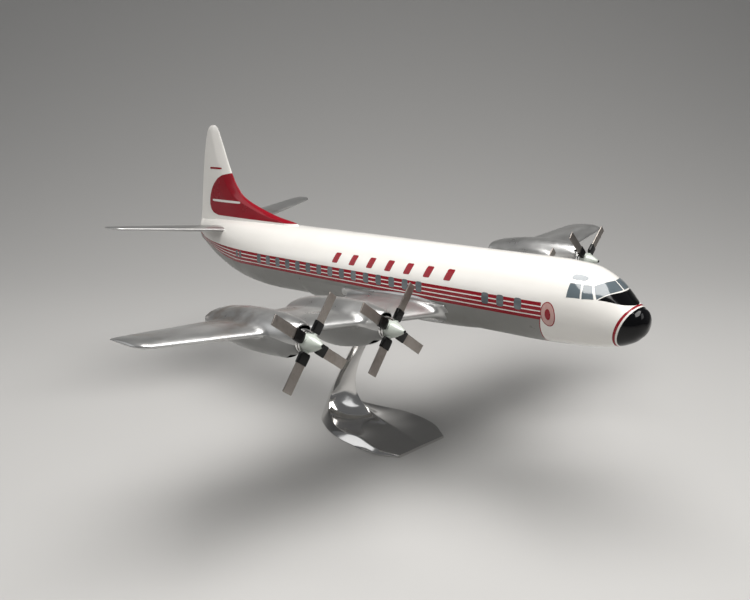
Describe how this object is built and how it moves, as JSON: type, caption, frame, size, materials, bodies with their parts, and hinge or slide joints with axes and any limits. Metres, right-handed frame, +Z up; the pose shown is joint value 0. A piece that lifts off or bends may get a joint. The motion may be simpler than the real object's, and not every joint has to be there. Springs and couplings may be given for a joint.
{
  "type": "propeller airliner desk model",
  "caption": "Desk model of a low-wing propeller airliner whose propellers spin, carried nose-up on a leaning polished cast stand with a flat foot.",
  "frame": {"origin": "centre of the stand's underside, on the surface that it stands on", "axes": "+X towards the nose, +Y to port, +Z up"},
  "size_m": [0.5905, 0.5946, 0.2889],
  "materials": {
    "white_gloss_shell": "glossy enamel over moulded shells",
    "grey_paint": "semi-gloss grey paint",
    "silver_casting": "satin silver paint over a casting, a little worn",
    "steel_rod": "drawn steel",
    "brass_fitting": "turned brass",
    "block_wood": "bare hardwood, hidden",
    "polished_stand": "polished casting with fine scratches",
    "bright_ring": "bright turned aluminium",
    "spinner_paint": "pale grey-green gloss",
    "blade_metal": "satin stamped sheet, slightly tarnished",
    "black_cuff": "gloss black"
  },
  "bodies": {
    "airframe": {"fuselage_left": "white_gloss_shell", "fuselage_right": "white_gloss_shell", "wing_saddle": "grey_paint", "mounting_block": "block_wood", "left_wing": "silver_casting", "right_wing": "silver_casting", "front_spar": "steel_rod", "rear_spar": "steel_rod", "fin": "white_gloss_shell", "left_stabilizer": "silver_casting", "right_stabilizer": "silver_casting", "stabilizer_spar": "steel_rod", "stand": "polished_stand", "stand_stud": "steel_rod", "threaded_insert": "brass_fitting", "bearing_sleeve_1": "brass_fitting", "cowl_ring_1": "bright_ring", "bearing_sleeve_2": "brass_fitting", "cowl_ring_2": "bright_ring", "bearing_sleeve_3": "brass_fitting", "cowl_ring_3": "bright_ring", "bearing_sleeve_4": "brass_fitting", "cowl_ring_4": "bright_ring"},
    "propeller_1": {"prop_shaft_1": "steel_rod", "shaft_collar_1": "steel_rod", "backplate_1": "bright_ring", "spinner_1": "spinner_paint", "blades_1": "blade_metal", "blade_cuffs_1": "black_cuff"},
    "propeller_2": {"prop_shaft_2": "steel_rod", "shaft_collar_2": "steel_rod", "backplate_2": "bright_ring", "spinner_2": "spinner_paint", "blades_2": "blade_metal", "blade_cuffs_2": "black_cuff"},
    "propeller_3": {"prop_shaft_3": "steel_rod", "shaft_collar_3": "steel_rod", "backplate_3": "bright_ring", "spinner_3": "spinner_paint", "blades_3": "blade_metal", "blade_cuffs_3": "black_cuff"},
    "propeller_4": {"prop_shaft_4": "steel_rod", "shaft_collar_4": "steel_rod", "backplate_4": "bright_ring", "spinner_4": "spinner_paint", "blades_4": "blade_metal", "blade_cuffs_4": "black_cuff"}
  },
  "joints": [
    {"name": "propeller_1_spin", "type": "hinge", "parent": "airframe", "child": "propeller_1", "pos_m": [0.12344, 0.1844, 0.16652], "axis": [0.9978, 0, 0.0663], "continuous": true},
    {"name": "propeller_2_spin", "type": "hinge", "parent": "airframe", "child": "propeller_2", "pos_m": [0.12404, 0.0982, 0.15754], "axis": [0.9978, 0, 0.0663], "continuous": true},
    {"name": "propeller_3_spin", "type": "hinge", "parent": "airframe", "child": "propeller_3", "pos_m": [0.12404, -0.0982, 0.15754], "axis": [0.9978, 0, 0.0663], "continuous": true},
    {"name": "propeller_4_spin", "type": "hinge", "parent": "airframe", "child": "propeller_4", "pos_m": [0.12344, -0.1844, 0.16652], "axis": [0.9978, 0, 0.0663], "continuous": true}
  ]
}
